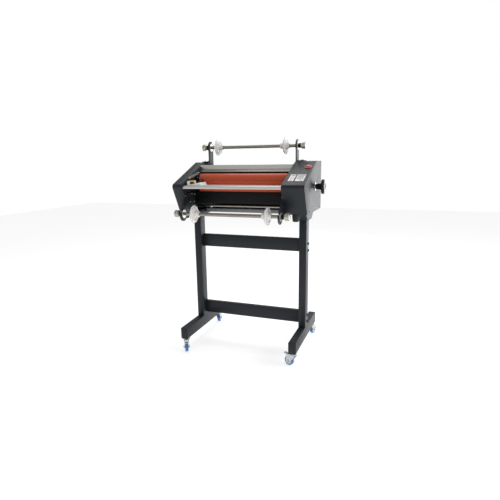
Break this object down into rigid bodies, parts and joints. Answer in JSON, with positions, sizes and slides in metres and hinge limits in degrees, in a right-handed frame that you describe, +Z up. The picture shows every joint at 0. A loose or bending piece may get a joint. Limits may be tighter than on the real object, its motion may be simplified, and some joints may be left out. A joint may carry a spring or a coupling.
{
  "type": "cold roll laminator",
  "caption": "Floor-standing cold roll laminator: rubber nip rollers between two housings, film shafts above and below, on a T-leg stand with casters.",
  "frame": {"origin": "middle of the whole object's box, on the floor that the casters stand on", "axes": "+Z up, +Y from the operator to the back, +X to the operator's right, along the rollers"},
  "size_m": [0.7584, 0.5332, 1.1532],
  "materials": {
    "anthracite_powder_coat": "semi-gloss powder coat",
    "grey_powder_coat": "semi-gloss powder coat",
    "black_enamel": "satin black",
    "white_enamel": "satin white",
    "silver_anodised": "satin anodised",
    "champagne_anodised": "knurled, anodised",
    "bright_steel": "ground and plated",
    "zinc_plate": "zinc plated",
    "orange_silicone": "ground silicone",
    "white_abs": "moulded",
    "black_abs": "moulded",
    "red_nylon": "gloss moulded",
    "printed_overlay": "printed polyester",
    "blue_polyurethane": "moulded",
    "black_rubber": "moulded"
  },
  "bodies": {
    "machine": {"left_foot": "anthracite_powder_coat", "left_post": "anthracite_powder_coat", "left_saddle": "anthracite_powder_coat", "right_foot": "anthracite_powder_coat", "right_post": "anthracite_powder_coat", "right_saddle": "anthracite_powder_coat", "lower_beam": "anthracite_powder_coat", "upper_beam": "anthracite_powder_coat", "base_pan": "grey_powder_coat", "front_left_rubber_foot": "black_rubber", "back_left_rubber_foot": "black_rubber", "front_right_rubber_foot": "black_rubber", "back_right_rubber_foot": "black_rubber", "left_side_plate": "anthracite_powder_coat", "right_side_plate": "anthracite_powder_coat", "left_cover": "anthracite_powder_coat", "right_cover": "anthracite_powder_coat", "top_guide_bar": "silver_anodised", "top_cover": "anthracite_powder_coat", "feed_table": "silver_anodised", "front_panel": "black_enamel", "rear_panel": "anthracite_powder_coat", "mains_inlet": "black_abs", "idler_rod": "bright_steel", "gear_motor": "bright_steel", "upper_left_bracket": "anthracite_powder_coat", "upper_right_bracket": "anthracite_powder_coat", "lower_left_bracket": "anthracite_powder_coat", "lower_right_bracket": "anthracite_powder_coat", "control_panel": "printed_overlay"},
    "front_left_fork": {"front_left_caster_fork": "zinc_plate"},
    "front_left_wheel": {"front_left_caster_wheel": "blue_polyurethane"},
    "front_left_pedal": {"front_left_brake_pedal": "black_abs"},
    "front_right_fork": {"front_right_caster_fork": "zinc_plate"},
    "front_right_wheel": {"front_right_caster_wheel": "blue_polyurethane"},
    "front_right_pedal": {"front_right_brake_pedal": "black_abs"},
    "back_left_fork": {"back_left_caster_fork": "zinc_plate"},
    "back_left_wheel": {"back_left_caster_wheel": "blue_polyurethane"},
    "back_right_fork": {"back_right_caster_fork": "zinc_plate"},
    "back_right_wheel": {"back_right_caster_wheel": "blue_polyurethane"},
    "upper_film_shaft": {"upper_film_shaft": "bright_steel"},
    "upper_left_chuck": {"upper_left_chuck": "white_abs"},
    "upper_left_knob": {"upper_left_brake_knob": "champagne_anodised"},
    "upper_right_chuck": {"upper_right_chuck": "white_abs"},
    "upper_right_knob": {"upper_right_brake_knob": "champagne_anodised"},
    "lower_film_shaft": {"lower_film_shaft": "bright_steel"},
    "lower_left_chuck": {"lower_left_chuck": "white_abs"},
    "lower_left_knob": {"lower_left_brake_knob": "champagne_anodised"},
    "lower_right_chuck": {"lower_right_chuck": "white_abs"},
    "lower_right_knob": {"lower_right_brake_knob": "champagne_anodised"},
    "lower_roller": {"lower_roller": "orange_silicone"},
    "drive_pinion": {"drive_pinion": "bright_steel"},
    "pressure_shaft": {"pressure_shaft": "bright_steel", "pressure_handwheel": "black_abs"},
    "bearing_blocks": {"left_bearing_block": "bright_steel", "right_bearing_block": "bright_steel"},
    "upper_roller": {"upper_roller": "orange_silicone"},
    "estop_button": {"estop_button": "red_nylon"},
    "paper_guide": {"paper_guide": "white_enamel"},
    "guide_thumb_screw": {"guide_thumb_screw": "black_abs"}
  },
  "joints": [
    {"name": "front_left_swivel", "type": "hinge", "parent": "machine", "child": "front_left_fork", "pos_m": [-0.3325, -0.21471, 0.071], "axis": [0, 0, 1], "continuous": true},
    {"name": "front_left_wheel_spin", "type": "hinge", "parent": "front_left_fork", "child": "front_left_wheel", "pos_m": [-0.3215, -0.23376, 0.025], "axis": [0.866, 0.5, 0], "continuous": true},
    {"name": "front_left_brake_press", "type": "hinge", "parent": "front_left_fork", "child": "front_left_pedal", "pos_m": [-0.317, -0.24156, 0.0562], "axis": [0.866, 0.5, 0], "range_deg": [0, 12]},
    {"name": "front_right_swivel", "type": "hinge", "parent": "machine", "child": "front_right_fork", "pos_m": [0.2795, -0.21471, 0.071], "axis": [0, 0, 1], "continuous": true},
    {"name": "front_right_wheel_spin", "type": "hinge", "parent": "front_right_fork", "child": "front_right_wheel", "pos_m": [0.2591, -0.20647, 0.025], "axis": [-0.3746, -0.9272, 0], "continuous": true},
    {"name": "front_right_brake_press", "type": "hinge", "parent": "front_right_fork", "child": "front_right_pedal", "pos_m": [0.25076, -0.2031, 0.0562], "axis": [-0.3746, -0.9272, 0], "range_deg": [0, 12]},
    {"name": "back_left_swivel", "type": "hinge", "parent": "machine", "child": "back_left_fork", "pos_m": [-0.3325, 0.21929, 0.071], "axis": [0, 0, 1], "continuous": true},
    {"name": "back_left_wheel_spin", "type": "hinge", "parent": "back_left_fork", "child": "back_left_wheel", "pos_m": [-0.33632, 0.24096, 0.025], "axis": [-0.9848, -0.1736, 0], "continuous": true},
    {"name": "back_right_swivel", "type": "hinge", "parent": "machine", "child": "back_right_fork", "pos_m": [0.2795, 0.21929, 0.071], "axis": [0, 0, 1], "continuous": true},
    {"name": "back_right_wheel_spin", "type": "hinge", "parent": "back_right_fork", "child": "back_right_wheel", "pos_m": [0.28519, 0.24054, 0.025], "axis": [-0.9659, 0.2588, 0], "continuous": true},
    {"name": "upper_film_spin", "type": "hinge", "parent": "machine", "child": "upper_film_shaft", "pos_m": [-0.0265, 0.12729, 1.1077], "axis": [1, 0, 0], "continuous": true},
    {"name": "upper_left_chuck_slide", "type": "slide", "parent": "upper_film_shaft", "child": "upper_left_chuck", "axis": [1, 0, 0], "range_m": [0, 0.15]},
    {"name": "upper_left_knob_turn", "type": "hinge", "parent": "upper_film_shaft", "child": "upper_left_knob", "pos_m": [-0.32875, 0.12729, 1.1077], "axis": [1, 0, 0], "range_deg": [-360, 360]},
    {"name": "upper_right_chuck_slide", "type": "slide", "parent": "upper_film_shaft", "child": "upper_right_chuck", "axis": [-1, 0, 0], "range_m": [0, 0.15]},
    {"name": "upper_right_knob_turn", "type": "hinge", "parent": "upper_film_shaft", "child": "upper_right_knob", "pos_m": [0.23095, 0.12729, 1.1077], "axis": [1, 0, 0], "range_deg": [-360, 360]},
    {"name": "lower_film_spin", "type": "hinge", "parent": "machine", "child": "lower_film_shaft", "pos_m": [-0.0265, -0.20171, 0.763], "axis": [1, 0, 0], "continuous": true},
    {"name": "lower_left_chuck_slide", "type": "slide", "parent": "lower_film_shaft", "child": "lower_left_chuck", "axis": [1, 0, 0], "range_m": [0, 0.15]},
    {"name": "lower_left_knob_turn", "type": "hinge", "parent": "lower_film_shaft", "child": "lower_left_knob", "pos_m": [-0.34345, -0.20171, 0.763], "axis": [1, 0, 0], "range_deg": [-360, 360]},
    {"name": "lower_right_chuck_slide", "type": "slide", "parent": "lower_film_shaft", "child": "lower_right_chuck", "axis": [-1, 0, 0], "range_m": [0, 0.15]},
    {"name": "lower_right_knob_turn", "type": "hinge", "parent": "lower_film_shaft", "child": "lower_right_knob", "pos_m": [0.23095, -0.20171, 0.763], "axis": [1, 0, 0], "range_deg": [-360, 360]},
    {"name": "lower_roller_spin", "type": "hinge", "parent": "machine", "child": "lower_roller", "pos_m": [-0.0265, -0.02271, 0.875], "axis": [1, 0, 0], "continuous": true},
    {"name": "drive_pinion_spin", "type": "hinge", "parent": "machine", "child": "drive_pinion", "pos_m": [-0.0265, 0.02163, 0.8494], "axis": [1, 0, 0], "continuous": true},
    {"name": "handwheel_turn", "type": "hinge", "parent": "machine", "child": "pressure_shaft", "pos_m": [-0.0265, 0.04229, 0.895], "axis": [1, 0, 0], "range_deg": [0, 180]},
    {"name": "nip_lift", "type": "slide", "parent": "machine", "child": "bearing_blocks", "axis": [0, 0, 1], "range_m": [0, 0.012]},
    {"name": "upper_roller_spin", "type": "hinge", "parent": "bearing_blocks", "child": "upper_roller", "pos_m": [-0.0265, -0.02271, 0.9353], "axis": [1, 0, 0], "continuous": true},
    {"name": "estop_press", "type": "slide", "parent": "machine", "child": "estop_button", "axis": [0, 0.3776, -0.926], "range_m": [0, 0.005]},
    {"name": "paper_guide_slide", "type": "slide", "parent": "machine", "child": "paper_guide", "axis": [1, 0, 0], "range_m": [-0.015, 0.3]},
    {"name": "thumb_screw_turn", "type": "hinge", "parent": "paper_guide", "child": "guide_thumb_screw", "pos_m": [-0.24375, -0.12071, 0.9083], "axis": [0, 0, 1], "range_deg": [0, 360]}
  ],
  "couplings": [
    {"joint": "handwheel_turn", "follows": "nip_lift", "rad_per_m": 261.8},
    {"joint": "drive_pinion_spin", "follows": "lower_roller_spin", "ratio": -2},
    {"joint": "upper_roller_spin", "follows": "lower_roller_spin", "ratio": -1}
  ]
}
